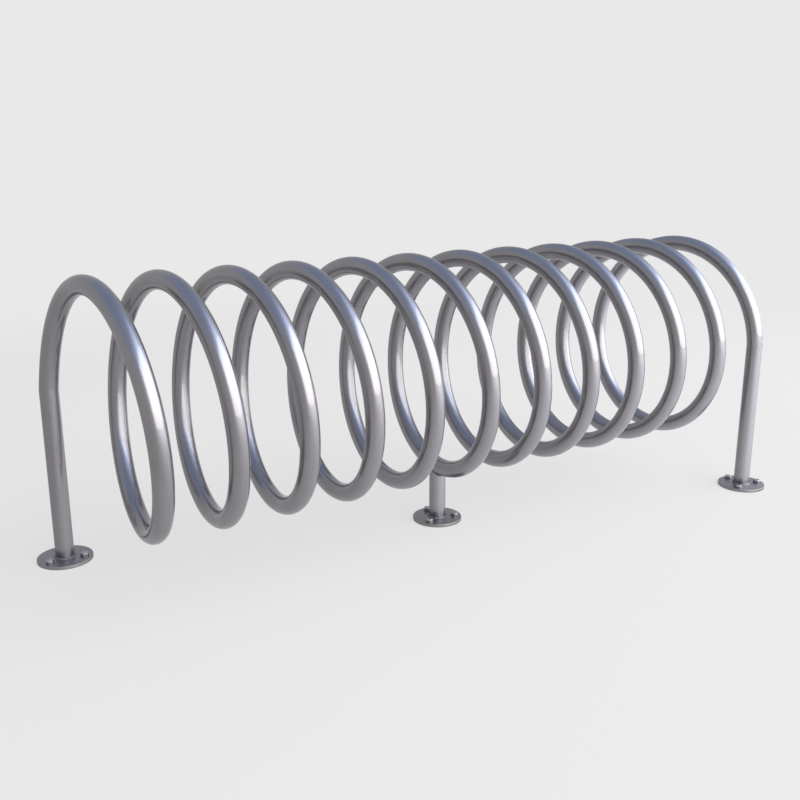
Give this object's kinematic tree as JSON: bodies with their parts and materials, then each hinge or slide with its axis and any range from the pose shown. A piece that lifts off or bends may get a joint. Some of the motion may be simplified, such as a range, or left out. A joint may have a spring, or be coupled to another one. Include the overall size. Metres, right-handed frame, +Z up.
{
  "type": "spiral bike rack",
  "caption": "Spiral bike rack: a coil of round steel tube lying on its side on three bolted-down flanged legs, with a wheel slot between each pair of turns.",
  "frame": {"origin": "centre of the footprint on the ground, midway between the end legs and under the middle one", "axes": "+Z up; +X along the coil, from the leg at +Y to the leg at -Y; +Y across the coil"},
  "size_m": [1.5, 0.5162, 0.55],
  "materials": {
    "tube_steel": "smooth satin steel, softly reflecting",
    "flange_steel": "satin steel plate, a little duller than the tube",
    "weld_steel": "dressed weld metal",
    "fixing_steel": "bright plated steel"
  },
  "bodies": {
    "root": {"coil_left": "tube_steel", "coil_middle": "tube_steel", "coil_right": "tube_steel", "left_leg": "tube_steel", "middle_leg": "tube_steel", "right_leg": "tube_steel", "left_flange": "flange_steel", "middle_flange": "flange_steel", "right_flange": "flange_steel", "left_foot_weld": "weld_steel", "middle_foot_weld": "weld_steel", "right_foot_weld": "weld_steel", "left_shoulder_weld": "weld_steel", "right_shoulder_weld": "weld_steel", "left_coil_joint_weld": "weld_steel", "right_coil_joint_weld": "weld_steel", "middle_saddle_weld": "weld_steel", "left_anchor_bolts": "fixing_steel", "middle_anchor_bolts": "fixing_steel", "right_anchor_bolts": "fixing_steel", "left_washers": "fixing_steel", "middle_washers": "fixing_steel", "right_washers": "fixing_steel"}
  },
  "joints": []
}
